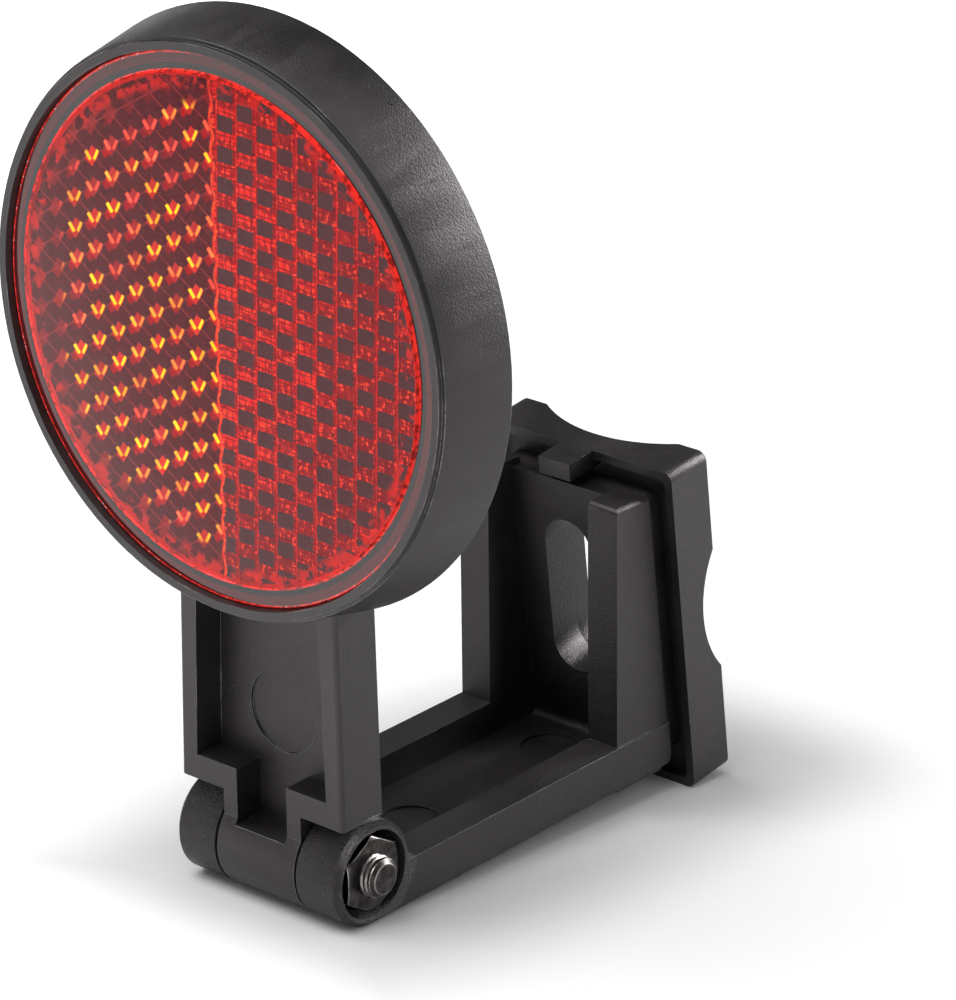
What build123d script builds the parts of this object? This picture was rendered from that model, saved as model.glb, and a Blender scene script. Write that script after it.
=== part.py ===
from build123d import *
import os
from math import cos, radians, sin, tan

# Bicycle rear reflector on a hinged bracket, in millimetres, +Z up.
# X is along the hinge, -Y is where the lens faces, +Y is towards the seat post.
# The origin is on the arm's flat underside, in the middle between hinge and seat post end.

# Bracket arm
BODY_W = 21.0           # width over the arm, its ears and the reflector's stem
WALL_T = 4.0            # side walls of the arm and of its upright
FLOOR_T = 1.5
ARM_H = 5.0             # height of the side walls over the underside
REACH = 41.9            # hinge to the upright's back, at its top
UPRIGHT_H = 30.8
UPRIGHT_D = 5.0         # depth of the upright at its top
UPRIGHT_INSET = 0.25    # ledge where the upright stands on the arm's walls
WEB_T = 1.2
WEB_DROP = 0.8          # web's top below the walls' tops
LEAN = 6.6              # degrees that the upright's back leans, for a raked seat post
HEEL_R = 1.5
TOP_EDGE_R = 0.6        # rounded tops of the upright's walls
CORNER_R = 0.8          # corner between the floor and the web
EAR_EDGE = 0.5
PAD_SIDE = 1.0          # locating pad behind the web, inside the upright's own edges
PAD_INSET = 1.0
SLOT_W = 6.0
SLOT_L = 17.4
SLOT_DROP = 13.8        # slot's centre below the upright's top
MARK_R = 3.0            # round ejector marks in the arm's floor
MARK_DEPTH = 0.25
MARK_STEPS = (-19.9, 1.7)    # their centres, from the upright's front

# Hinge
HINGE_Y = -20.0
EAR_R = 5.35
EAR_W = 5.2
SIDE_GAP = 0.3          # between ear and knuckle
TURN_GAP = 0.4          # around the knuckle as it turns
BOLT_D = 3.9
BORE_GAP = 0.05         # all round the bolt
BOLT_PROUD = 1.5        # bolt's end beyond the right ear
BOLT_POINT = 0.4
HEAD_D = 7.6
HEAD_H = 2.6
HEAD_EDGE = 0.9
HEAD_SINK = 0.4         # head below the left ear's face
CROSS_W = 0.9           # cross recess in the bolt's head
CROSS_L = 4.2
CROSS_DEPTH = 1.3
NUT_AF = 7.0
NUT_H = 3.2
NUT_SINK = 0.1
NUT_EDGE_H = 0.25       # chamfer on the nut's corners, along the axis and across it
NUT_EDGE_R = 0.45
THREAD_GAP = 0.03
RECESS_D = 9.0          # round recess in each ear

# Saddle block behind the upright
RIM_GAP = 1.45          # upright's back to the block's front
BLOCK_SIDE = 1.55       # block beyond the arm's sides
BLOCK_H = 36.3
BLOCK_T = 5.6
RIM_SIDE = 0.9
RIM_TOP = 1.0
RECESS_DEPTH = 1.2      # front recess that the locating pad seats in
RECESS_R = 1.0
POST_R = 15.4           # groove that lies on the seat post
POST_DEPTH = 2.6
CROSSBAR_R = 11.3       # groove across the block
CROSSBAR_DEPTH = 2.2
CROSSBAR_DROP = 17.7    # groove's centre below the block's top
BLOCK_CORNER_R = 1.0
TAB_W = 4.0
TAB_T = 1.9
TAB_REACH = 3.7
TAB_GAP = 0.3           # tab over the upright's top

# Reflector housing and its stem
DISC_RISE = 55.1        # lens centre over the hinge
LIP_Y = -9.0            # front lip, from the hinge axis
HOUSING_D = 8.5
FRONT_R = 27.8
FLARE = 1.45            # rear rim's radius over the front's
LIP_INSET = 0.35
LIP_STEP = 0.5
LIP_W = 0.95            # lip's flat face round the lens
BACK_T = 1.6
REAR_EDGE = 0.6
STEM_FRONT = 4.2        # stem's faces, from the hinge axis
STEM_BACK = 1.36
STEM_DRAFT = 1.3        # degrees that each side of the stem leans in
STEM_EDGE_R = 0.5
SHOULDER_RISE = 5.9
POCKET_DEPTH = 3.4
POCKET_SIDE = 2.15      # wall beside the pocket at its foot
POCKET_DRAFT = 1.8
POCKET_RISE = 32.0
LEDGE_RISE = 8.5
THROAT_W = 6.4
THROAT_RISE = 2.7
STEM_MARK_R = 4.2
STEM_MARK_RISE = 14.3
RIB_RISE = 34.0         # back rib, full thickness up to here
RIB_END_RISE = 44.0

# Lens: a clear plate with corner prisms on its back, in two fields that point opposite ways
LENS_GAP = 0.1
LENS_SINK = 0.3
LENS_T = 3.0
PLATE_T = 1.7
BORDER_W = 2.0
BORDER_DROP = 0.5
BORDER_SLOPE = 0.2
SEAT_W = 1.6
FIELD_CELLS = ((-1, 2.54, 3.03), (1, 2.43, 2.94))     # side, column pitch, height of a cell
PRISM_R = 1.45          # centre to corner of a prism's three-sided foot
FIELD_EDGE = 0.15       # plain strip round each field

HINGE_Z = EAR_R
UPRIGHT_Y = HINGE_Y + REACH - UPRIGHT_D
KNUCKLE_W = BODY_W - 2 * (EAR_W + SIDE_GAP)
BORE_D = BOLT_D + 2 * BORE_GAP
HEAD_SEAT_X = -BODY_W / 2 + HEAD_H + HEAD_SINK
NUT_SEAT_X = BODY_W / 2 - NUT_H - NUT_SINK
BOLT_END_X = BODY_W / 2 + BOLT_PROUD
DISC_Z = HINGE_Z + DISC_RISE
LIP_FACE_Y = HINGE_Y + LIP_Y
BACK_FACE_Y = LIP_FACE_Y + HOUSING_D
REAR_R = FRONT_R + FLARE
LIP_R = FRONT_R - LIP_INSET
LENS_R = LIP_R - LIP_W
LENS_FACE_Y = LIP_FACE_Y + LENS_SINK
LENS_SEAT_Y = LENS_FACE_Y + LENS_T
BLOCK_W = BODY_W + 2 * BLOCK_SIDE
BLOCK_TOP = TAB_GAP + TAB_T
OVER = 1.0              # how far a cut runs past the surface it opens
SINK = 0.1              # how far a prism's foot reaches into its plate

# The leaning plane through the upright's back edge: y runs up the back, and the normal is backwards.
lean = radians(LEAN)
BACK = Plane(
    origin=(0, UPRIGHT_Y + UPRIGHT_D, UPRIGHT_H),
    x_dir=(-1, 0, 0),
    z_dir=(0, cos(lean), sin(lean)),
)


def side_plate(points, width):
    """A side outline of (y, z) points, as wide as given, centred on the middle plane."""
    face = Plane.YZ * make_face(Polyline(*points, close=True))
    return extrude(face, width / 2, both=True)


def along_hinge(radius, x_from, x_to):
    """A cylinder on the hinge axis."""
    plane = Plane(origin=(x_from, HINGE_Y, HINGE_Z), x_dir=(0, 1, 0), z_dir=(1, 0, 0))
    return extrude(plane * Circle(radius), x_to - x_from)


def block_of(x_from, x_to, y_from, y_to, z_from, z_to):
    size = (x_to - x_from, y_to - y_from, z_to - z_from)
    middle = ((x_from + x_to) / 2, (y_from + y_to) / 2, (z_from + z_to) / 2)
    return Pos(*middle) * Box(*size)


def on_back(shape, depth_from, depth_to):
    """A flat shape drawn on the leaning plane, filled between two depths behind it."""
    return extrude(BACK.offset(depth_from) * shape, depth_to - depth_from)


def back_y(z):
    """Y of the upright's leaning back at a height."""
    return UPRIGHT_Y + UPRIGHT_D + (UPRIGHT_H - z) * tan(lean)


def slot_tool(depth_from, depth_to):
    shape = Pos(0, -SLOT_DROP) * Rot(0, 0, 90) * SlotOverall(SLOT_L, SLOT_W)
    return on_back(shape, depth_from, depth_to)


def make_arm():
    half = BODY_W / 2
    inner = half - WALL_T
    web = WEB_T / cos(lean)
    foot = [
        (HINGE_Y, 0),
        (back_y(0), 0),
        (back_y(ARM_H), ARM_H),
        (HINGE_Y, ARM_H),
    ]
    # one moulding with the ears, and one chamfer round the ears and along the underside
    arm = side_plate(foot, BODY_W) + along_hinge(EAR_R, -half, half)
    outer = [
        edge
        for edge in arm.edges().filter_by(Axis.X, reverse=True)
        if edge.geom_type == GeomType.CIRCLE or edge.center().Z < EAR_EDGE / 2
    ]
    arm = chamfer(outer, EAR_EDGE)
    heel = arm.edges().filter_by(Axis.X).group_by(Axis.Z)[0].sort_by(Axis.Y)[-1]
    arm = fillet(heel, HEEL_R)
    upright = [
        (UPRIGHT_Y, 0),
        (back_y(0) - HEEL_R, 0),
        (back_y(ARM_H), ARM_H),
        (back_y(UPRIGHT_H), UPRIGHT_H),
        (UPRIGHT_Y, UPRIGHT_H),
    ]
    upright = side_plate(upright, BODY_W - 2 * UPRIGHT_INSET)
    arm += fillet(upright.edges().group_by(Axis.Z)[-1], TOP_EDGE_R)
    # the open channel of the arm and of its upright
    sky = UPRIGHT_H + OVER
    channel = [
        (HINGE_Y, FLOOR_T),
        (back_y(FLOOR_T) - web, FLOOR_T),
        (back_y(sky) - web, sky),
        (HINGE_Y, sky),
    ]
    channel = side_plate(channel, 2 * inner)
    corner = channel.edges().filter_by(Axis.X).group_by(Axis.Z)[0].sort_by(Axis.Y)[-1]
    arm -= fillet(corner, CORNER_R)
    arm -= block_of(-inner, inner, UPRIGHT_Y, back_y(0), UPRIGHT_H - WEB_DROP, sky)
    # the ears' full width, the gap that the knuckle turns in, and the bore with its recesses
    arm += along_hinge(EAR_R, -inner, inner)
    knuckle_half = KNUCKLE_W / 2 + SIDE_GAP
    arm -= along_hinge(EAR_R + TURN_GAP, -knuckle_half, knuckle_half)
    arm -= along_hinge(RECESS_D / 2, -half, HEAD_SEAT_X)
    arm -= along_hinge(RECESS_D / 2, NUT_SEAT_X, half)
    arm -= along_hinge(BORE_D / 2, -half, half)
    # pad that locates the saddle block
    pad_w = BODY_W - 2 * PAD_SIDE
    pad_top = -PAD_INSET
    pad_low = -(UPRIGHT_H - TOP_EDGE_R) / cos(lean)
    pad = Pos(0, (pad_top + pad_low) / 2) * RectangleRounded(pad_w, pad_top - pad_low, RECESS_R)
    arm += on_back(pad, -WEB_T / 2, RIM_GAP + RECESS_DEPTH)
    arm -= slot_tool(-WEB_T - OVER, RIM_GAP + RECESS_DEPTH + OVER)
    for step in MARK_STEPS:
        arm -= Pos(0, UPRIGHT_Y + step, FLOOR_T) * Cylinder(MARK_R, 2 * MARK_DEPTH)
    return arm


def make_saddle_block():
    centre = BLOCK_TOP - BLOCK_H / 2
    back = RIM_GAP + BLOCK_T
    body = on_back(Pos(0, centre) * RectangleRounded(BLOCK_W, BLOCK_H, BLOCK_CORNER_R), RIM_GAP, back)
    # hollows for the seat post and for a bar across it
    post = BACK.offset(back + POST_R - POST_DEPTH) * Pos(0, centre) * Rot(90, 0, 0)
    body -= post * Cylinder(POST_R, 2 * BLOCK_H)
    bar_y = BLOCK_TOP - CROSSBAR_DROP
    bar = BACK.offset(back + CROSSBAR_R - CROSSBAR_DEPTH) * Pos(0, bar_y) * Rot(0, 90, 0)
    body -= bar * Cylinder(CROSSBAR_R, 2 * BLOCK_W)
    # front recess for the arm's pad
    recess_w = BLOCK_W - 2 * RIM_SIDE
    recess_h = BLOCK_H - RIM_TOP - RIM_SIDE
    recess_y = BLOCK_TOP - RIM_TOP - recess_h / 2
    body -= on_back(Pos(0, recess_y) * RectangleRounded(recess_w, recess_h, RECESS_R), 0, RIM_GAP + RECESS_DEPTH)
    # tab over the top of the upright
    tab = Pos(0, BLOCK_TOP - TAB_T / 2) * Rectangle(TAB_W, TAB_T)
    body += on_back(tab, RIM_GAP - TAB_REACH, RIM_GAP + RECESS_DEPTH + OVER)
    body -= slot_tool(0, back + OVER)
    return body


def make_bolt():
    face_x = HEAD_SEAT_X - HEAD_H
    head = along_hinge(HEAD_D / 2, face_x, HEAD_SEAT_X)
    rim = head.edges().filter_by(GeomType.CIRCLE).sort_by(Axis.X)[0]
    head = chamfer(rim, HEAD_EDGE)
    plane = Plane(origin=(face_x, HINGE_Y, HINGE_Z), x_dir=(0, 1, 0), z_dir=(1, 0, 0))
    for wide, high in ((CROSS_L, CROSS_W), (CROSS_W, CROSS_L)):
        head -= extrude(plane * Rectangle(wide, high), CROSS_DEPTH)
    shank = along_hinge(BOLT_D / 2, HEAD_SEAT_X, BOLT_END_X)
    tip = shank.edges().filter_by(GeomType.CIRCLE).sort_by(Axis.X)[-1]
    return head + chamfer(tip, BOLT_POINT)


def make_nut():
    plane = Plane(origin=(NUT_SEAT_X, HINGE_Y, HINGE_Z), x_dir=(0, 0, 1), z_dir=(1, 0, 0))
    corner_r = NUT_AF / 2 / cos(radians(30))
    nut = extrude(plane * RegularPolygon(corner_r, 6), NUT_H)
    # round chamfer that every hexagon nut has at both faces
    chamfered = extrude(plane * Circle(corner_r), NUT_H)
    chamfered = chamfer(chamfered.edges().filter_by(GeomType.CIRCLE), NUT_EDGE_H, NUT_EDGE_R)
    nut &= chamfered
    return nut - along_hinge(BOLT_D / 2 + THREAD_GAP, NUT_SEAT_X, NUT_SEAT_X + NUT_H)


def turned(points):
    """A profile of (radius, y) points turned about the lens axis."""
    middle = Plane(origin=(0, 0, DISC_Z), x_dir=(1, 0, 0), z_dir=(0, 0, 1))
    return revolve(middle * make_face(Polyline(*points, close=True)), Axis((0, 0, DISC_Z), (0, 1, 0)))


def leaning_sides(low_half, z_low, z_high, draft):
    """Corners of a front outline whose two sides lean in by some degrees as they rise."""
    high_half = low_half - (z_high - z_low) * tan(radians(draft))
    return [(-low_half, z_low), (low_half, z_low), (high_half, z_high), (-high_half, z_high)]


def make_stem():
    shoulder_z = HINGE_Z + SHOULDER_RISE
    front = HINGE_Y - STEM_FRONT
    back = HINGE_Y + STEM_BACK
    top_z = HINGE_Z + RIB_END_RISE
    faced_back = Plane(origin=(0, back, 0), x_dir=(1, 0, 0), z_dir=(0, -1, 0))
    outline = leaning_sides(BODY_W / 2, shoulder_z, top_z, STEM_DRAFT)
    slab = extrude(faced_back * make_face(Polyline(*outline, close=True)), back - front)
    edges = slab.edges().group_by(Axis.Y)[0].filter_by(Axis.X, reverse=True)
    slab = fillet(edges, STEM_EDGE_R)
    side = [
        (front - OVER, shoulder_z - OVER),
        (back, shoulder_z - OVER),
        (back, HINGE_Z + RIB_RISE),
        (BACK_FACE_Y - BACK_T / 2, top_z),
        (front - OVER, DISC_Z - FRONT_R + LIP_W),
    ]
    slab &= side_plate(side, BODY_W + 2 * OVER)
    # knuckle and the neck down to it
    slab += block_of(-KNUCKLE_W / 2, KNUCKLE_W / 2, front, back, HINGE_Z, shoulder_z + OVER)
    slab += along_hinge(EAR_R, -KNUCKLE_W / 2, KNUCKLE_W / 2)
    # pocket in the front, with a narrower throat down to the knuckle
    floor_y = front + POCKET_DEPTH
    ledge_z = HINGE_Z + LEDGE_RISE
    throat_z = HINGE_Z + THROAT_RISE
    mouth = Plane(origin=(0, floor_y, 0), x_dir=(1, 0, 0), z_dir=(0, -1, 0))
    pocket = leaning_sides(BODY_W / 2 - POCKET_SIDE, ledge_z, HINGE_Z + POCKET_RISE, POCKET_DRAFT)
    slab -= extrude(mouth * make_face(Polyline(*pocket, close=True)), POCKET_DEPTH + EAR_R)
    throat = Pos(0, (ledge_z + OVER + throat_z) / 2) * Rectangle(THROAT_W, ledge_z + OVER - throat_z)
    slab -= extrude(mouth * throat, POCKET_DEPTH + EAR_R)
    mark = Plane(origin=(0, floor_y, HINGE_Z + STEM_MARK_RISE), x_dir=(1, 0, 0), z_dir=(0, 1, 0))
    return slab - extrude(mark * Circle(STEM_MARK_R), MARK_DEPTH)


def make_housing():
    wall_y = LIP_FACE_Y + LIP_STEP
    cup = [
        (0, LIP_FACE_Y),
        (LIP_R, LIP_FACE_Y),
        (LIP_R, wall_y),
        (FRONT_R, wall_y),
        (REAR_R, BACK_FACE_Y - REAR_EDGE),
        (REAR_R - REAR_EDGE, BACK_FACE_Y),
        (0, BACK_FACE_Y),
    ]
    bowl = [
        (0, LIP_FACE_Y - OVER),
        (LENS_R + LENS_GAP, LIP_FACE_Y - OVER),
        (LENS_R + LENS_GAP, LENS_SEAT_Y),
        (LENS_R - SEAT_W, LENS_SEAT_Y),
        (LENS_R - SEAT_W, BACK_FACE_Y - BACK_T),
        (0, BACK_FACE_Y - BACK_T),
    ]
    housing = turned(cup) + make_stem() - turned(bowl)
    return housing - along_hinge(BORE_D / 2, -BODY_W / 2, BODY_W / 2)


def make_prism(point_to):
    """A cube's corner that points backwards, with one of its three edges towards the angle given."""
    across = (2 / 3) ** 0.5
    edges = [
        (across * cos(a), -(1 / 3) ** 0.5, across * sin(a))
        for a in (radians(point_to), radians(point_to + 240))
    ]
    edge = PRISM_R / across
    height = edge * (1 / 3) ** 0.5
    cube = Plane(origin=(0, 0, 0), x_dir=edges[0], z_dir=edges[1]) * Box(
        2 * edge, 2 * edge, 2 * edge, align=(Align.MIN, Align.MIN, Align.MIN)
    )
    sunk = height + SINK
    return Pos(0, height, 0) * (cube & block_of(-edge * 2, edge * 2, -sunk, 0, -edge * 2, edge * 2))


def prism_places(side, pitch, high):
    """X and height of every prism that fits whole into one half of the lens."""
    reach = LENS_R - BORDER_W - FIELD_EDGE - PRISM_R
    count = int(LENS_R / high) + 1
    for column in range(int(LENS_R / pitch) + 1):
        x = side * (column + 0.5) * pitch
        for row in range(-count, count + 1):
            z = (row + 0.5 * (column % 2)) * high
            if x * x + z * z < reach * reach:
                yield x, z


def make_lens():
    inner = LENS_R - BORDER_W
    border_y = LENS_FACE_Y + BORDER_DROP
    plate_y = LENS_FACE_Y + PLATE_T
    profile = [
        (0, LENS_FACE_Y),
        (inner, LENS_FACE_Y),
        (inner + BORDER_SLOPE, border_y),
        (LENS_R, border_y),
        (LENS_R, LENS_SEAT_Y),
        (LENS_R - SEAT_W, LENS_SEAT_Y),
        (LENS_R - SEAT_W, plate_y),
        (0, plate_y),
    ]
    prisms = []
    for side, pitch, high in FIELD_CELLS:
        prism = make_prism(0 if side < 0 else 180)
        prisms += [Pos(x, plate_y, DISC_Z + z) * prism for x, z in prism_places(side, pitch, high)]
    return turned(profile) + prisms


def write(node, shape):
    shape.label = node
    export_step(shape, os.path.join("parts", node + ".step"))


os.makedirs("parts", exist_ok=True)
write("bracket_arm", make_arm())
write("saddle_block", make_saddle_block())
write("pivot_bolt", make_bolt())
write("pivot_nut", make_nut())
write("reflector_housing", make_housing())
write("reflector_lens", make_lens())
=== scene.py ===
import bmesh
import bpy
import math
from mathutils import Matrix, Vector


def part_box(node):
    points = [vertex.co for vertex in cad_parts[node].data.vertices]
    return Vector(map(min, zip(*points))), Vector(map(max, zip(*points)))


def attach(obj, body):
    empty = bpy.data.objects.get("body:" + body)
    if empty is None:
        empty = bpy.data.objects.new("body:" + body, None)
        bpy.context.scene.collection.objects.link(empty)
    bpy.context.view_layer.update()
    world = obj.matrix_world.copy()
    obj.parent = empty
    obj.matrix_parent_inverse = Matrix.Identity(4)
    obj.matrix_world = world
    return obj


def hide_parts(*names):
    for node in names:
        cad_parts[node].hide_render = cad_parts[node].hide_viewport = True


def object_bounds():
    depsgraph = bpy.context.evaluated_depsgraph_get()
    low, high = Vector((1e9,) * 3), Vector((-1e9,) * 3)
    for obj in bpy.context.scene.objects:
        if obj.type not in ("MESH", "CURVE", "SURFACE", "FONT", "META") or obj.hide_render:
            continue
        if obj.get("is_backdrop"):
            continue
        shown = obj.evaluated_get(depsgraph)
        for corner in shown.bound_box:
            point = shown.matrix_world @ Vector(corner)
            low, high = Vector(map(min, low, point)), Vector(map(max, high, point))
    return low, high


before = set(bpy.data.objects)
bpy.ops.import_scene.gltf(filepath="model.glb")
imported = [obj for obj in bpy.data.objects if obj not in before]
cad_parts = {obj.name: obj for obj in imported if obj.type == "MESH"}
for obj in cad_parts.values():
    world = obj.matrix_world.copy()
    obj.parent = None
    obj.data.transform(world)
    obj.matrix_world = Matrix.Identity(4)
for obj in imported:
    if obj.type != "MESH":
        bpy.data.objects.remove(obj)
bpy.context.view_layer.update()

# Sizes are in metres, in the frame's own axes: X along the hinge, -Y the way the lens faces, Z up.
MM = 0.001
HINGE = Vector((0, -20.0, 5.35)) * MM
ARM_TOP = 5.0 * MM

# Camera, as it stood for the photograph
AZIMUTH, ELEVATION, ROLL = 40.88, 22.74, -0.64
DISTANCE = 491.5 * MM
HINGE_LEFT, HINGE_BELOW = 17.86 * MM, 33.10 * MM
FOCAL_PX, LONG_SIDE_PX = 5097.0, 1000.0

# Lens
lens_low, lens_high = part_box("reflector_lens")
LENS_R = (lens_high.x - lens_low.x) / 2
LENS_Z = (lens_high.z + lens_low.z) / 2
LENS_FACE, LENS_BACK = lens_low.y, lens_high.y
BORDER_W, BORDER_DROP = 2.0 * MM, 0.5 * MM
COVER_T = 0.4 * MM
FIELD_R = LENS_R - BORDER_W
SPLIT_X = 0.0 * MM
# Each field's staggered cells: column pitch, height of a cell, and where one cell's centre lies
LEFT_CELL = (2.54 * MM, 3.03 * MM, 0.0 * MM, -1.39 * MM)
RIGHT_CELL = (2.43 * MM, 2.94 * MM, 1.25 * MM, -0.24 * MM)
PRISM_DEPTH = 0.15 * MM
# Light in a cell of the left field: centre in mm, angle in degrees, length, width and soft edge
PATCH = ((-0.04, -0.04), 57, 1.8, 1.1, 0.12)
SHADE = ((-0.78, -0.92), 42, 0.9, 0.7, 0.2)
LOWER_STROKE = ((-0.57, -0.10), -54, 0.98, 0.40, 0.14)
UPPER_STROKE = ((0.46, 0.16), 60, 1.20, 0.30, 0.14)

# Softened edges of the CAD nodes
PLASTIC_EDGES = {
    "bracket_arm": 0.2 * MM,
    "saddle_block": 0.25 * MM,
    "reflector_housing": 0.2 * MM,
}
STEEL_EDGE = 0.08 * MM

# Lamps: azimuth and elevation in degrees, distance and size in metres, watts, in the gloss only
LAMPS = {
    "key": (-25, 66, 0.8, 0.6, 5.4, False),
    "right": (110, 30, 0.6, 0.35, 0.35, False),
    "back_right": (155, 24, 0.6, 0.27, 7.0, True),
    "glint": (18, 47, 0.8, 0.1, 2.0, True),
    "left_glint": (-74, 51, 0.8, 0.16, 2.6, True),
}
WORLD_LEVEL, GLOSS_CEILING = 0.34, 0.09

# Table: the part's footprint on it, in mm from the heel, and the lower part in front of it
FOOT_HALF_W, FOOT_MIDDLE, FOOT_HALF_L = 14.0, 26.0, 34.0
NEAR_GLOW, SIDE_GLOW, FAR_GLOW = 0.01, 0.29, 0.7
TABLE_REACH = 3.0
STEP_AHEAD, STEP_DOWN = 22 * MM, 10 * MM


def axes_of(azimuth, elevation, roll):
    """The camera's own right, up and back directions."""
    a, e, r = (math.radians(x) for x in (azimuth, elevation, roll))
    back = Vector((math.sin(a) * math.cos(e), -math.cos(a) * math.cos(e), math.sin(e)))
    right = Vector((math.cos(a), math.sin(a), 0))
    up = back.cross(right)
    return (
        math.cos(r) * right + math.sin(r) * up,
        math.cos(r) * up - math.sin(r) * right,
        back,
    )


def make_camera():
    """The camera, aimed so that the hinge falls where the photograph has it."""
    right, up, back = axes_of(AZIMUTH, ELEVATION, ROLL)
    eye = HINGE + HINGE_LEFT * right + HINGE_BELOW * up + DISTANCE * back
    data = bpy.data.cameras.new("camera")
    data.sensor_width = 36.0
    data.lens = FOCAL_PX / LONG_SIDE_PX * data.sensor_width
    data.clip_start, data.clip_end = 0.01, 10
    camera = bpy.data.objects.new("camera", data)
    turn = Matrix((right, up, back)).transposed().to_4x4()
    camera.matrix_world = Matrix.Translation(eye) @ turn
    bpy.context.scene.collection.objects.link(camera)
    bpy.context.scene.camera = camera


class Num:
    """A number that shader nodes work out at each point, so patterns are written as arithmetic."""

    def __init__(self, tree, socket):
        self.tree, self.socket = tree, socket

    def node(self, operation, *others):
        node = self.tree.nodes.new("ShaderNodeMath")
        node.operation = operation
        for slot, value in zip(node.inputs, (self, *others)):
            if isinstance(value, Num):
                self.tree.links.new(value.socket, slot)
            else:
                slot.default_value = value
        return Num(self.tree, node.outputs[0])

    def __add__(self, other):
        return self.node("ADD", other)

    def __sub__(self, other):
        return self.node("SUBTRACT", other)

    def __mul__(self, other):
        return self.node("MULTIPLY", other)

    def __truediv__(self, other):
        return self.node("DIVIDE", other)

    def floor(self):
        return self.node("FLOOR")

    def abs(self):
        return self.node("ABSOLUTE")

    def max(self, other):
        return self.node("MAXIMUM", other)

    def above(self, edge, soft):
        """0 below the edge and 1 above it, with a soft step as wide as given."""
        node = self.tree.nodes.new("ShaderNodeMapRange")
        node.interpolation_type = "SMOOTHSTEP"
        self.tree.links.new(self.socket, node.inputs["Value"])
        for name, value in (("From Min", edge - soft / 2), ("From Max", edge + soft / 2)):
            node.inputs[name].default_value = value
        return Num(self.tree, node.outputs["Result"])

    def below(self, edge, soft):
        return self.above(edge, soft) * -1 + 1


def object_xyz(tree):
    """X, Y and Z in millimetres."""
    coords = tree.nodes.new("ShaderNodeTexCoord")
    scaled = tree.nodes.new("ShaderNodeVectorMath")
    scaled.operation = "SCALE"
    scaled.inputs["Scale"].default_value = 1 / MM
    tree.links.new(coords.outputs["Object"], scaled.inputs[0])
    split = tree.nodes.new("ShaderNodeSeparateXYZ")
    tree.links.new(scaled.outputs[0], split.inputs[0])
    return scaled.outputs[0], [Num(tree, s) for s in split.outputs]


def vector(tree, *values):
    """A place made of three numbers."""
    node = tree.nodes.new("ShaderNodeCombineXYZ")
    for slot, value in zip(node.inputs, values):
        if isinstance(value, Num):
            tree.links.new(value.socket, slot)
        else:
            slot.default_value = value
    return node.outputs[0]


def noise(tree, at, scale, detail=2.0, roughness=0.5):
    """Smooth noise around 0.5, with the scale counted per millimetre."""
    node = tree.nodes.new("ShaderNodeTexNoise")
    node.inputs["Scale"].default_value = scale
    node.inputs["Detail"].default_value = detail
    node.inputs["Roughness"].default_value = roughness
    tree.links.new(at, node.inputs["Vector"])
    return Num(tree, node.outputs["Fac"])


def chance(tree, *values):
    """Three numbers from 0 to 1 that are the same for the same values."""
    node = tree.nodes.new("ShaderNodeTexWhiteNoise")
    tree.links.new(vector(tree, *values), node.inputs["Vector"])
    split = tree.nodes.new("ShaderNodeSeparateColor")
    tree.links.new(node.outputs["Color"], split.inputs[0])
    return [Num(tree, s) for s in split.outputs]


def blend(tree, factor, first, second):
    """A colour between two others."""
    node = tree.nodes.new("ShaderNodeMix")
    node.data_type = "RGBA"
    tree.links.new(factor.socket, node.inputs["Factor"])
    for name, value in (("A", first), ("B", second)):
        slot = [s for s in node.inputs if s.name == name and s.type == "RGBA"][0]
        if isinstance(value, tuple):
            slot.default_value = (*value, 1)
        else:
            tree.links.new(value, slot)
    return [s for s in node.outputs if s.type == "RGBA"][0]


def ramp(tree, factor, low, high):
    """The factor's 0 to 1 spread over low to high."""
    return factor * (high - low) + low


def new_material(name):
    """A material, its node tree and its main shader."""
    material = bpy.data.materials.new(name)
    material.use_nodes = True
    tree = material.node_tree
    return material, tree, tree.nodes["Principled BSDF"]


def relief(tree, shader, height, distance):
    """Fine bumps as high as given."""
    bump = tree.nodes.new("ShaderNodeBump")
    bump.inputs["Distance"].default_value = distance
    tree.links.new(height.socket, bump.inputs["Height"])
    tree.links.new(bump.outputs["Normal"], shader.inputs["Normal"])


def black_plastic(name, dark, light, rough_low, rough_high):
    """Satin moulded plastic: fine grain, coarser on the hinge ears, with soft cloudy gloss."""
    material, tree, shader = new_material(name)
    at, (x, y, z) = object_xyz(tree)
    grain = noise(tree, at, 5.2, 3.0, 0.65)
    cloud = noise(tree, at, 0.12, 4.0, 0.6)
    fleck = noise(tree, at, 2.2, 2.0).above(0.66, 0.1)
    from_hinge = (y - HINGE.y / MM).node("POWER", 2.0) + (z - HINGE.z / MM).node("POWER", 2.0)
    ear = from_hinge.below(36.0, 6.0) * x.abs().above(5.3, 0.1)
    tone = (cloud * 0.7 + grain * 0.3).above(0.5, 0.5)
    colour = blend(tree, tone, dark, light)
    tree.links.new(colour, shader.inputs["Base Color"])
    rough = ramp(tree, cloud.above(0.5, 0.5), rough_low, rough_high) - fleck * 0.08 - ear * 0.14
    tree.links.new(rough.socket, shader.inputs["Roughness"])
    shader.inputs["Specular Tint"].default_value = (1.0, 0.92, 0.95, 1)
    relief(tree, shader, grain * (ear * 6.0 + 1.0), 0.065 * MM)
    return material


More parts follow.
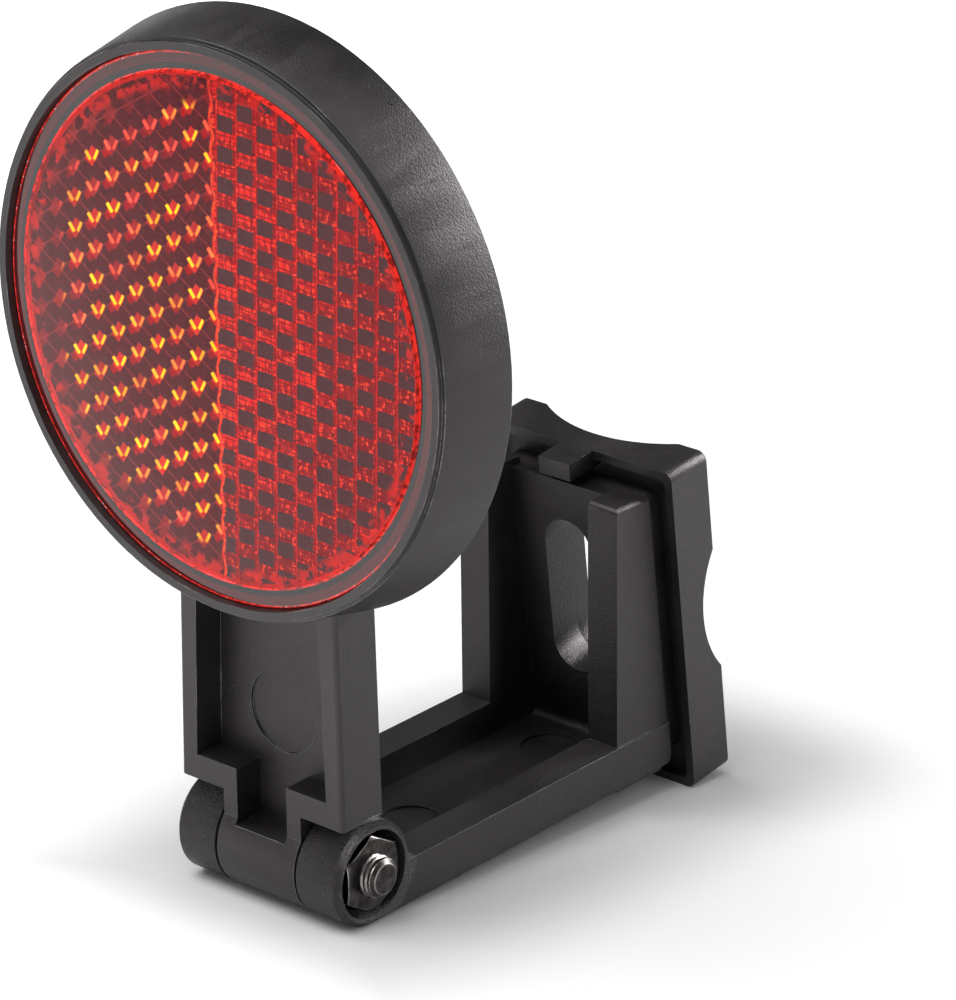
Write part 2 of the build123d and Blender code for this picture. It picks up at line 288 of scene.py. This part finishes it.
def rubbed_and_highlit_edge(name):
    """The mouldings' edges, bright in places: partly rubbed wear and partly painted edge
    highlights, with a painted highlight along the arm's parting line.
    """
    material, tree, shader = new_material(name)
    at, (x, y, z) = object_xyz(tree)
    # bright patches on the edges: partly rubbed wear, partly painted highlights
    rub_and_glint = noise(tree, at, 0.16, 3.0, 0.6).above(0.56, 0.16)
    fine = noise(tree, at, 2.5, 3.0, 0.6)
    colour = blend(tree, rub_and_glint * fine.above(0.42, 0.3), (0.012, 0.0105, 0.0105), (0.17, 0.16, 0.16))
    # the arm's top outer edge along the moulding's parting line: a thin painted highlight
    parting_line_highlight = (z - ARM_TOP / MM).abs().below(0.15, 0.06) * x.abs().above(10.22, 0.06)
    colour = blend(tree, parting_line_highlight * fine.above(0.32, 0.3), colour, (0.85, 0.82, 0.82))
    tree.links.new(colour, shader.inputs["Base Color"])
    rough = ramp(tree, fine, 0.24, 0.42)
    tree.links.new(rough.socket, shader.inputs["Roughness"])
    relief(tree, shader, fine, 0.04 * MM)
    return material


def dark_steel(name, dark, light):
    """Plated steel, stained and faintly scratched."""
    material, tree, shader = new_material(name)
    at, (x, y, z) = object_xyz(tree)
    stain = noise(tree, at, 0.9, 4.0, 0.65)
    scratch = noise(tree, vector(tree, x * 0.6, y * 9.0, z * 2.0), 1.0, 2.0)
    colour = blend(tree, stain.above(0.5, 0.5), dark, light)
    tree.links.new(colour, shader.inputs["Base Color"])
    shader.inputs["Metallic"].default_value = 1.0
    rough = ramp(tree, scratch, 0.24, 0.42)
    tree.links.new(rough.socket, shader.inputs["Roughness"])
    relief(tree, shader, scratch + stain * 0.6, 0.015 * MM)
    return material


def cells_of(tree, x, z, size):
    """Column and row numbers of staggered cells, and the place inside a cell in millimetres."""
    wide, high, x_first, z_first = (value / MM for value in size)
    across = (x - x_first) / wide + 0.5
    column = across.floor()
    odd = column - (column / 2).floor() * 2
    along = (z - z_first) / high + odd * 0.5 + 0.5
    row = along.floor()
    return column, row, (across - column - 0.5) * wide, (along - row - 0.5) * high


def stroke(u, v, centre, angle, length, width, soft):
    """A short bar in a cell."""
    a = math.radians(angle)
    du, dv = u - centre[0], v - centre[1]
    along = du * math.cos(a) + dv * math.sin(a)
    across = dv * math.cos(a) - du * math.sin(a)
    return along.abs().below(length / 2, soft) * across.abs().below(width / 2, soft)


def lattice_lines(x, z, size, width):
    """The prisms' long straight edges, in two slanting directions."""
    wide, high, x_first, z_first = (value / MM for value in size)
    lines = None
    for lean in (0.5, -0.5):
        step = (z - z_first) / high + (x - x_first) / wide * lean + 0.5
        near = (step - step.floor() - 0.5).abs().below(width, 0.03)
        lines = near if lines is None else lines.max(near)
    return lines


def left_field(tree, x, z, radius, soft, fine):
    """Cells that each send back two slanted strokes of light in a red patch."""
    column, row, u, v = cells_of(tree, x, z, LEFT_CELL)
    strong, tint, spread = chance(tree, column, row, 3.0)
    inside = radius.below(21.6, 1.2) * x.above(-19.6, 1.5)
    trend = z.below(7.0, 26.0) * 0.35 + soft.above(0.5, 0.5) * 0.45
    bright = (strong * 0.6 + trend).above(0.72, 0.5)

    colour = blend(tree, fine.above(0.5, 0.4), (0.055, 0.008, 0.012), (0.115, 0.010, 0.015))
    lines = lattice_lines(x, z, LEFT_CELL, 0.02) * ramp(tree, fine, 0.2, 1.0)
    colour = blend(tree, lines, colour, (0.42, 0.05, 0.05))
    shade = stroke(u, v, *SHADE) * tint.above(0.4, 0.4) * inside
    colour = blend(tree, shade, colour, (0.38, 0.003, 0.006))
    dull = blend(tree, tint, (0.28, 0.010, 0.014), (0.60, 0.028, 0.030))
    patch = stroke(u, v, *PATCH) * (inside * 0.6 + 0.4) * ramp(tree, spread, 0.6, 1.0)
    colour = blend(tree, patch, colour, blend(tree, bright, dull, (0.72, 0.030, 0.014)))

    # two bright strokes in each cell: painted glints, which prism_red also makes glow
    lower = stroke(u, v, *LOWER_STROKE) * ramp(tree, tint, 0.55, 1.0)
    upper = stroke(u, v, *UPPER_STROKE) * ramp(tree, spread, 0.55, 1.0)
    strokes = lower.max(upper) * inside
    light = blend(tree, bright, (0.85, 0.10, 0.05), (1.0, 0.66, 0.005))
    return blend(tree, strokes, colour, light), strokes


def right_field(tree, x, z, radius, soft, fine):
    """Bright bands of small bricks across each column, with dull squares between them."""
    x_turned = x - z * 0.03
    z_turned = z + x * 0.017
    column, row, u, v = cells_of(tree, x_turned, z_turned, RIGHT_CELL)
    strong, edged, _ = chance(tree, column, row, 8.0)
    brick = noise(tree, vector(tree, x_turned * 2.4, z_turned * 1.1, 0.0), 1.0, 2.0, 0.6)
    gaps = noise(tree, vector(tree, x_turned * 1.3, z_turned * 3.2, 5.0), 1.0, 2.0, 0.6)
    spots = brick.above(0.55, 0.08) * gaps.above(0.47, 0.12)
    dark_spots = brick.below(0.40, 0.1) * gaps.below(0.52, 0.12)
    fading = (radius * 0.03 + x * 0.012 + z * -0.008 + soft * 0.9).above(1.0, 0.5)

    bright = (strong * 0.5 + gaps).above(0.75, 0.5)
    band = blend(tree, bright, (0.36, 0.008, 0.010), (0.78, 0.014, 0.013))
    band = blend(tree, spots, band, (1.0, 0.075, 0.030))
    band = blend(tree, dark_spots, band, (0.16, 0.010, 0.014))
    upright_joints = (u * 1.25 + 0.25).node("FRACT").below(0.12, 0.08)
    level_joints = (v.abs() - 1.12).abs().below(0.05, 0.06)
    joints = upright_joints.max(level_joints) * gaps.above(0.40, 0.2)
    band = blend(tree, joints, band, (0.15, 0.008, 0.012))
    band = blend(tree, fading * spots.below(0.5, 0.5) * 0.75, band, (0.16, 0.010, 0.014))

    strip = blend(tree, gaps.above(0.5, 0.2), (0.14, 0.009, 0.012), (0.42, 0.012, 0.014))
    body = blend(tree, fine.above(0.5, 0.4), (0.060, 0.028, 0.032), (0.085, 0.036, 0.040))
    square = (u + 0.14).abs().below(0.93, 0.1) * v.abs().below(0.78, 0.1)
    colour = blend(tree, v.abs().above(0.78, 0.1), strip, band)
    colour = blend(tree, square, colour, body)
    border = u.abs().above(1.16, 0.05) * edged.above(0.2, 0.3)
    return blend(tree, border, colour, (0.60, 0.02, 0.02))


def prism_red(name):
    """The lens's prism fields: dull red facets, with the light that each cell sends back painted
    in, and all of it glowing though no lamp is there.
    """
    material, tree, shader = new_material(name)
    at, (x, y, z) = object_xyz(tree)
    x = x - SPLIT_X / MM
    z = z - LENS_Z / MM
    soft = noise(tree, at, 0.22, 3.0)
    fine = noise(tree, at, 3.5, 3.0, 0.6)
    radius = (x * x + z * z).node("SQRT")
    left, strokes = left_field(tree, x, z, radius, soft, fine)
    right = right_field(tree, x, z, radius, soft, fine)
    colour = blend(tree, x.above(0.0, 0.04), left, right)

    # the join between the fields, painted with orange glints, and the bright rim round them
    wave = (z * 2.07).node("SINE") * 0.16 + (fine - 0.5) * 0.5
    join = (x - wave).abs().below(0.17, 0.1) * ramp(tree, soft.above(0.45, 0.3), 0.7, 1.0)
    join_glint_colour = blend(tree, fine.above(0.5, 0.2), (0.70, 0.015, 0.015), (1.0, 0.13, 0.03))
    colour = blend(tree, join, colour, join_glint_colour)
    blotch = noise(tree, at, 0.9, 2.0).above(0.54, 0.12)
    wide_rim = radius.above(FIELD_R / MM - 1.5, 0.8) * blotch * 0.8
    rim = radius.above(FIELD_R / MM - 0.35, 0.15) * ramp(tree, soft.above(0.45, 0.2), 0.4, 1.0)
    colour = blend(tree, wide_rim.max(rim), colour, (0.62, 0.02, 0.016))
    tree.links.new(colour, shader.inputs["Base Color"])
    # the fields glow in their own colour: painted light, strongest on the left field's strokes
    tree.links.new(colour, shader.inputs["Emission Color"])
    painted_glow = (strokes * x.below(0.0, 0.05)) * 0.9 + 0.32
    tree.links.new(painted_glow.socket, shader.inputs["Emission Strength"])
    rough = ramp(tree, fine, 0.3, 0.5)
    tree.links.new(rough.socket, shader.inputs["Roughness"])
    shader.inputs["Specular IOR Level"].default_value = 0.05
    return material


def clear_cover(name):
    """The lens's smooth front: clear over the fields, dark red and glossy on the border, with
    glowing red edge lines and painted white glints.
    """
    material, tree, shader = new_material(name)
    at, (x, y, z) = object_xyz(tree)
    z = z - LENS_Z / MM
    radius = (x * x + z * z).node("SQRT")
    fine = noise(tree, at, 1.6, 2.0)
    edge_glint_specks = noise(tree, at, 2.6, 2.0, 0.7)
    outer = radius.above(LENS_R / MM - 1.15, 0.1)
    rings = (radius * 26.0).node("SINE").above(0.4, 0.8) * ramp(tree, fine, 0.2, 0.9)
    edge = radius.above(LENS_R / MM - 0.26, 0.08)
    inner = radius.above(FIELD_R / MM - 0.05, 0.06) * radius.below(FIELD_R / MM + 0.25, 0.06)
    colour = blend(tree, outer, (0.022, 0.010, 0.011), (0.085, 0.008, 0.010))
    colour = blend(tree, rings * outer, colour, (0.26, 0.014, 0.016))
    # red lines at the lens's edge and round the fields: they glow, which is painted light
    lines = edge.max(inner) * ramp(tree, fine.above(0.45, 0.2), 0.4, 1.0)
    colour = blend(tree, lines, colour, (0.90, 0.035, 0.025))
    # white specks on the outer edge: painted glints
    colour = blend(tree, edge * edge_glint_specks.above(0.66, 0.04), colour, (0.9, 0.8, 0.8))
    tree.links.new(colour, shader.inputs["Base Color"])
    tree.links.new(colour, shader.inputs["Emission Color"])
    tree.links.new((lines * 0.35).socket, shader.inputs["Emission Strength"])
    rough = ramp(tree, fine, 0.04, 0.12)
    tree.links.new(rough.socket, shader.inputs["Roughness"])
    clear = tree.nodes.new("ShaderNodeBsdfTransparent")
    clear.inputs["Color"].default_value = (1.0, 0.93, 0.93, 1)
    gloss = tree.nodes.new("ShaderNodeBsdfGlossy")
    tree.links.new(rough.socket, gloss.inputs["Roughness"])
    fresnel = tree.nodes.new("ShaderNodeFresnel")
    fresnel.inputs["IOR"].default_value = 1.24
    geometry = tree.nodes.new("ShaderNodeNewGeometry")
    front = Num(tree, geometry.outputs["Backfacing"]) * -1 + 1
    mirror = front * Num(tree, fresnel.outputs[0])
    window = tree.nodes.new("ShaderNodeMixShader")
    tree.links.new(mirror.socket, window.inputs["Fac"])
    tree.links.new(clear.outputs[0], window.inputs[1])
    tree.links.new(gloss.outputs[0], window.inputs[2])
    whole = tree.nodes.new("ShaderNodeMixShader")
    border = radius.above(FIELD_R / MM - 0.02, 0.04)
    tree.links.new(border.socket, whole.inputs["Fac"])
    tree.links.new(window.outputs[0], whole.inputs[1])
    tree.links.new(shader.outputs[0], whole.inputs[2])
    tree.links.new(whole.outputs[0], tree.nodes["Material Output"].inputs["Surface"])
    return material


def make_thread(material):
    """The bolt's thread where it stands out of the nut: one helical ridge that fades in and out."""
    core, crest, pitch = 1.9 * MM, 2.1 * MM, 0.55 * MM
    bolt_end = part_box("pivot_bolt")[1].x
    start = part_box("pivot_nut")[1].x - 0.1 * MM
    turns, steps = (bolt_end - 0.45 * MM - start) / pitch, 48
    count = int(turns * steps)
    profile = ((-0.46, 0), (-0.10, 1), (0.10, 1), (0.46, 0))
    points, faces = [], []
    for i in range(count + 1):
        turn = 2 * math.pi * i / steps
        fade = min(1, i / 12, (count - i) / 12)
        for along, high in profile:
            radius = core + (crest - core) * high * fade
            x = start + pitch * (i / steps + along * (0.2 + 0.8 * fade))
            points.append((x, HINGE.y + radius * math.cos(turn), HINGE.z + radius * math.sin(turn)))
    for i in range(count):
        for j in range(4):
            k = (j + 1) % 4
            faces.append((4 * i + j, 4 * i + k, 4 * i + 4 + k, 4 * i + 4 + j))
    faces.append((0, 3, 2, 1))
    faces.append(tuple(4 * count + j for j in range(4)))
    mesh = bpy.data.meshes.new("bolt_thread")
    mesh.from_pydata(points, [], faces)
    mesh.materials.append(material)
    return place("bolt_thread", mesh, "bracket")


def place(name, mesh, body):
    """A new piece in the scene that moves with a body."""
    piece = bpy.data.objects.new(name, mesh)
    bpy.context.scene.collection.objects.link(piece)
    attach(piece, body)
    return piece


def turned(profile, steps):
    """Points and faces of a closed (radius, y) profile turned about the lens axis."""
    points, faces, rings = [], [], []
    for radius, y in profile:
        count = 1 if radius < 1e-9 else steps
        rings.append(range(len(points), len(points) + count))
        for i in range(count):
            a = 2 * math.pi * i / steps
            points.append((radius * math.cos(a), y, LENS_Z + radius * math.sin(a)))
    for here, there in zip(rings, rings[1:] + rings[:1]):
        for i in range(steps):
            j = (i + 1) % steps
            if len(here) == 1 and len(there) == 1:
                continue
            if len(here) == 1:
                faces.append((here[0], there[j], there[i]))
            elif len(there) == 1:
                faces.append((here[i], here[j], there[0]))
            else:
                faces.append((here[i], here[j], there[j], there[i]))
    return points, faces


def make_cover(material):
    """The lens's clear front plate and, a step lower, its border."""
    face, back = LENS_FACE, LENS_BACK
    slope = 0.2 * MM
    profile = [
        (0, face),
        (FIELD_R - 0.1 * MM, face),
        (FIELD_R, face + 0.05 * MM),
        (FIELD_R + slope, face + BORDER_DROP),
        (LENS_R - 0.12 * MM, face + BORDER_DROP),
        (LENS_R, face + BORDER_DROP + 0.12 * MM),
        (LENS_R, back),
        (FIELD_R + slope, back),
        (FIELD_R + slope, face + COVER_T),
        (0, face + COVER_T),
    ]
    mesh = bpy.data.meshes.new("lens_cover")
    points, faces = turned(profile, 160)
    mesh.from_pydata(points, [], faces)
    shape = bmesh.new()
    shape.from_mesh(mesh)
    bmesh.ops.recalc_face_normals(shape, faces=shape.faces)
    shape.to_mesh(mesh)
    shape.free()
    mesh.shade_smooth()
    mesh.set_sharp_from_angle(angle=math.radians(30))
    mesh.materials.append(material)
    return place("lens_cover", mesh, "reflector")


def add_prism_field(shape, size, x_sign):
    """One field of staggered six-sided cells, each of three facets, closed at its back."""
    wide, high, x_first, z_first = size
    third = wide / 3
    deep = LENS_FACE + COVER_T + 0.05 * MM + PRISM_DEPTH
    depths = (deep, deep - PRISM_DEPTH / 2, deep - PRISM_DEPTH)
    reach = FIELD_R + 0.1 * MM
    seen, sheet = {}, []

    def corner(x, z, level):
        x = x * x_sign if x * x_sign > 0 else 0
        radius = math.hypot(x, z)
        if radius > reach:
            x, z = x * reach / radius, z * reach / radius
        key = (round(x * 1e7), round(z * 1e7))
        if key not in seen:
            seen[key] = shape.verts.new((SPLIT_X + x_sign * x, depths[level], LENS_Z + z))
        return seen[key]

    rows = int(reach / high) + 2
    columns = int(reach / wide) + 2
    for column in range(-columns, columns + 1):
        for row in range(-rows, rows + 1):
            x = x_first + column * wide
            z = z_first + (row - 0.5 * (column % 2)) * high
            if x * x_sign < -wide or math.hypot(x, z) > reach + wide:
                continue
            middle = corner(x, z, 0)
            ring = [
                corner(x + 2 * third, z, 1),
                corner(x + third, z + high / 2, 2),
                corner(x - third, z + high / 2, 1),
                corner(x - 2 * third, z, 2),
                corner(x - third, z - high / 2, 1),
                corner(x + third, z - high / 2, 2),
            ]
            for i in (0, 2, 4):
                loop = list(dict.fromkeys((middle, ring[i], ring[i + 1], ring[(i + 2) % 6])))
                flat = sum(
                    (a.co.x * b.co.z - b.co.x * a.co.z) for a, b in zip(loop, loop[1:] + loop[:1])
                )
                if len(loop) > 2 and abs(flat) > 1e-9:
                    sheet.append(shape.faces.new(loop))
    rim = [e for e in shape.edges if len(e.link_faces) == 1 and e.link_faces[0] in set(sheet)]
    grown = bmesh.ops.extrude_edge_only(shape, edges=rim)["geom"]
    for vert in (g for g in grown if isinstance(g, bmesh.types.BMVert)):
        vert.co.y = LENS_BACK - 0.1 * MM
    back = [
        g for g in grown if isinstance(g, bmesh.types.BMEdge) and len(g.link_faces) == 1
    ]
    bmesh.ops.contextual_create(shape, geom=back)


def make_prisms(material):
    """Both prism fields behind the cover."""
    shape = bmesh.new()
    add_prism_field(shape, LEFT_CELL, -1)
    add_prism_field(shape, RIGHT_CELL, 1)
    loose = [v for v in shape.verts if not v.link_faces]
    bmesh.ops.delete(shape, geom=loose, context="VERTS")
    bmesh.ops.recalc_face_normals(shape, faces=shape.faces)
    mesh = bpy.data.meshes.new("lens_prisms")
    shape.to_mesh(mesh)
    shape.free()
    mesh.materials.append(material)
    return place("lens_prisms", mesh, "reflector")


def dress(node, materials, soften):
    """Give a CAD node its materials, the second one on its softly rounded edges."""
    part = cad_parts[node]
    part.data.materials.clear()
    for material in materials:
        part.data.materials.append(material)
    weld = part.modifiers.new("weld", "WELD")
    weld.merge_threshold = 0.002 * MM
    plain = part.modifiers.new("plain", "DECIMATE")
    plain.decimate_type = "DISSOLVE"
    plain.angle_limit = math.radians(1.0)
    bevel = part.modifiers.new("bevel", "BEVEL")
    bevel.width = soften
    bevel.segments = 3
    bevel.limit_method = "ANGLE"
    bevel.angle_limit = math.radians(35)
    bevel.harden_normals = True
    # the rounded edges take the second material, a lighter one that paints in edge highlights
    bevel.material = 1


def area_light(name, azimuth, elevation, distance, size, power, gloss_only):
    """A square lamp aimed at the middle of the part."""
    data = bpy.data.lights.new(name, "AREA")
    data.shape = "SQUARE"
    data.size = size
    data.energy = power
    lamp = bpy.data.objects.new(name, data)
    lamp.visible_diffuse = not gloss_only
    right, up, back = axes_of(azimuth, elevation, 0)
    lo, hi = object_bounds()
    lamp.location = (lo + hi) / 2 + back * distance
    lamp.rotation_euler = back.to_track_quat("Z", "Y").to_euler()
    bpy.context.scene.collection.objects.link(lamp)


def ways_of_looking(tree):
    """1 where the camera looks, where a gloss does, and where something clear is looked through."""
    path = tree.nodes.new("ShaderNodeLightPath")
    return [
        Num(tree, path.outputs[name])
        for name in ("Is Camera Ray", "Is Glossy Ray", "Is Transmission Ray")
    ]


def make_world():
    """White where it is looked at, with a dim ceiling in the glosses, and a soft even light."""
    world = bpy.data.worlds.new("studio")
    world.use_nodes = True
    bpy.context.scene.world = world
    tree = world.node_tree
    tree.nodes.clear()
    coords = tree.nodes.new("ShaderNodeTexCoord")
    split = tree.nodes.new("ShaderNodeSeparateXYZ")
    tree.links.new(coords.outputs["Generated"], split.inputs[0])
    low = Num(tree, split.outputs["Z"]).below(0.1, 0.2)
    camera, gloss, through = ways_of_looking(tree)
    seen = camera.max(through).max(gloss * low)
    light = tree.nodes.new("ShaderNodeBackground")
    light.inputs["Color"].default_value = (1, 1, 1, 1)
    unseen = gloss * (GLOSS_CEILING - WORLD_LEVEL) + WORLD_LEVEL
    tree.links.new((seen + (seen * -1 + 1) * unseen).socket, light.inputs["Strength"])
    out = tree.nodes.new("ShaderNodeOutputWorld")
    tree.links.new(light.outputs[0], out.inputs["Surface"])


def make_floor():
    """A white table under the ears and the block's lower edge, with room for the lens to tilt."""
    corners = [n.matrix_world @ v.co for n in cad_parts.values() for v in n.data.vertices]
    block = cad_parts["saddle_block"]
    foot = min((block.matrix_world @ v.co for v in block.data.vertices), key=lambda p: p.z)
    heel = Vector((0, HINGE.y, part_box("bracket_arm")[0].z))
    slope = math.atan2(foot.z - heel.z, foot.y - heel.y)
    up = Vector((0, -math.sin(slope), math.cos(slope)))
    drop = min((p - heel).dot(up) for p in corners)
    profile = (
        (TABLE_REACH, 0),
        (-STEP_AHEAD, 0),
        (-STEP_AHEAD, -STEP_DOWN),
        (-TABLE_REACH, -STEP_DOWN),
    )
    points = [(x, y, z) for y, z in profile for x in (-TABLE_REACH, TABLE_REACH)]
    faces = [(i, i + 2, i + 3, i + 1) for i in (0, 2, 4)]
    mesh = bpy.data.meshes.new("floor")
    mesh.from_pydata(points, [], faces)
    floor = bpy.data.objects.new("floor", mesh)
    floor.matrix_world = Matrix.Translation(heel + up * drop) @ Matrix.Rotation(slope, 4, "X")
    bpy.context.scene.collection.objects.link(floor)
    material, tree, shader = new_material("floor")
    shader.inputs["Base Color"].default_value = (0.85, 0.85, 0.85, 1)
    shader.inputs["Roughness"].default_value = 0.8
    shader.inputs["Specular IOR Level"].default_value = 0.0
    glow = tree.nodes.new("ShaderNodeEmission")
    camera, gloss, through = ways_of_looking(tree)
    at, (x, y, z) = object_xyz(tree)
    side = (x.abs() - FOOT_HALF_W).max(0.0)
    length = ((y - FOOT_MIDDLE).abs() - FOOT_HALF_L).max(0.0)
    away = (side * side + length * length).node("SQRT")
    lift = ramp(tree, away.above(9.0, 18.0), NEAR_GLOW, SIDE_GLOW)
    lift = lift + away.above(210.0, 380.0) * FAR_GLOW
    # the table is quite white before it steps down
    front = y * -1
    lift = lift.max(front.above(13.0, 16.0) * 0.42 + front.above(20.5, 2.0) * 0.6)
    level = camera.max(gloss).max(through) * lift
    tree.links.new(level.socket, glow.inputs["Strength"])
    add = tree.nodes.new("ShaderNodeAddShader")
    tree.links.new(shader.outputs[0], add.inputs[0])
    tree.links.new(glow.outputs[0], add.inputs[1])
    tree.links.new(add.outputs[0], tree.nodes["Material Output"].inputs["Surface"])
    floor.data.materials.append(material)
    floor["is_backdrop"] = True


make_camera()
make_world()
make_floor()
for name, settings in LAMPS.items():
    area_light(name, *settings)

black = black_plastic(
    "black_plastic", (0.0062, 0.0052, 0.0052), (0.018, 0.0155, 0.016), 0.34, 0.5
)
edge_wear_and_highlight = rubbed_and_highlit_edge("rubbed_and_highlit_edge")
steel = dark_steel("dark_steel", (0.020, 0.018, 0.017), (0.085, 0.078, 0.075))
# a lighter copy of the steel: on the bolt's and nut's rounded edges it is a painted highlight, and
# it also colours the thread
lighter_steel_and_edge_highlight = dark_steel("lighter_steel_and_edge_highlight", (0.10, 0.095, 0.09), (0.40, 0.38, 0.37))
# the plastic's rounded edges take the lighter edge material: partly wear, partly painted highlight
for node, edge in PLASTIC_EDGES.items():
    dress(node, (black, edge_wear_and_highlight), edge)
for node in ("pivot_bolt", "pivot_nut"):
    dress(node, (steel, lighter_steel_and_edge_highlight), STEEL_EDGE)
make_thread(lighter_steel_and_edge_highlight)
cover = make_cover(clear_cover("lens_cover"))
prisms = make_prisms(prism_red("lens_prisms"))
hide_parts("reflector_lens")
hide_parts("reflector_lens")

bpy.context.scene.view_settings.view_transform = "Standard"
